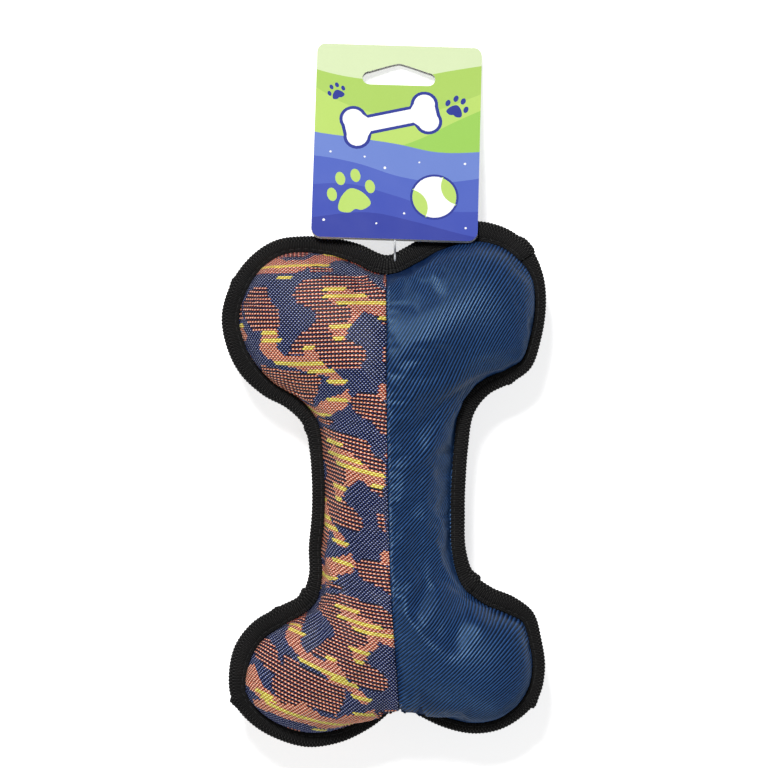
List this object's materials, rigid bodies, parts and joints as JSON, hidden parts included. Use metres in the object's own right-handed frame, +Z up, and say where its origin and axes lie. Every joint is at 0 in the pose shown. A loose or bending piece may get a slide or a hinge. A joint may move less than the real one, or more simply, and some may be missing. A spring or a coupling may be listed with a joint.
{
  "type": "bone-shaped stuffed dog toy",
  "caption": "Bone-shaped stuffed squeaky dog toy in two cloths with a bound edge, and a folded hang tag on a nylon pin.",
  "frame": {"origin": "middle of the footprint of toy and tag, on the surface that the toy lies on", "axes": "+X to the right half of the toy, +Y along the toy to the end with the tag, +Z up out of the front"},
  "size_m": [0.1424, 0.3084, 0.0524],
  "materials": {
    "camouflage_cloth": "woven jacquard",
    "twill_cloth": "woven twill",
    "tape": "ribbed webbing",
    "fibre": "loose polyester fibre",
    "vinyl": "soft moulded vinyl",
    "reed_film": "thin film",
    "nylon": "translucent",
    "card": "printed and coated"
  },
  "bodies": {
    "toy": {"front_left_panel": "camouflage_cloth", "front_right_panel": "twill_cloth", "back_left_panel": "camouflage_cloth", "back_right_panel": "twill_cloth", "edge_tape": "tape", "front_filling": "fibre", "back_filling": "fibre", "squeaker_bulb": "vinyl", "squeaker_plug": "vinyl", "reed_seat": "vinyl", "squeaker_reed": "reed_film"},
    "pin": {"tag_pin_bar": "nylon"},
    "tag": {"hang_tag": "card", "tag_pin_paddle": "nylon"}
  },
  "joints": [
    {"name": "pin_turn", "type": "hinge", "parent": "toy", "child": "pin", "pos_m": [0.00417, 0.05786, 0.0238], "axis": [0, 0, 1], "range_deg": [0, 9]},
    {"name": "tag_flip", "type": "hinge", "parent": "pin", "child": "tag", "pos_m": [0.00417, 0.06686, 0.03089], "axis": [0.9996, -0.0297, 0], "range_deg": [0, 120]}
  ]
}
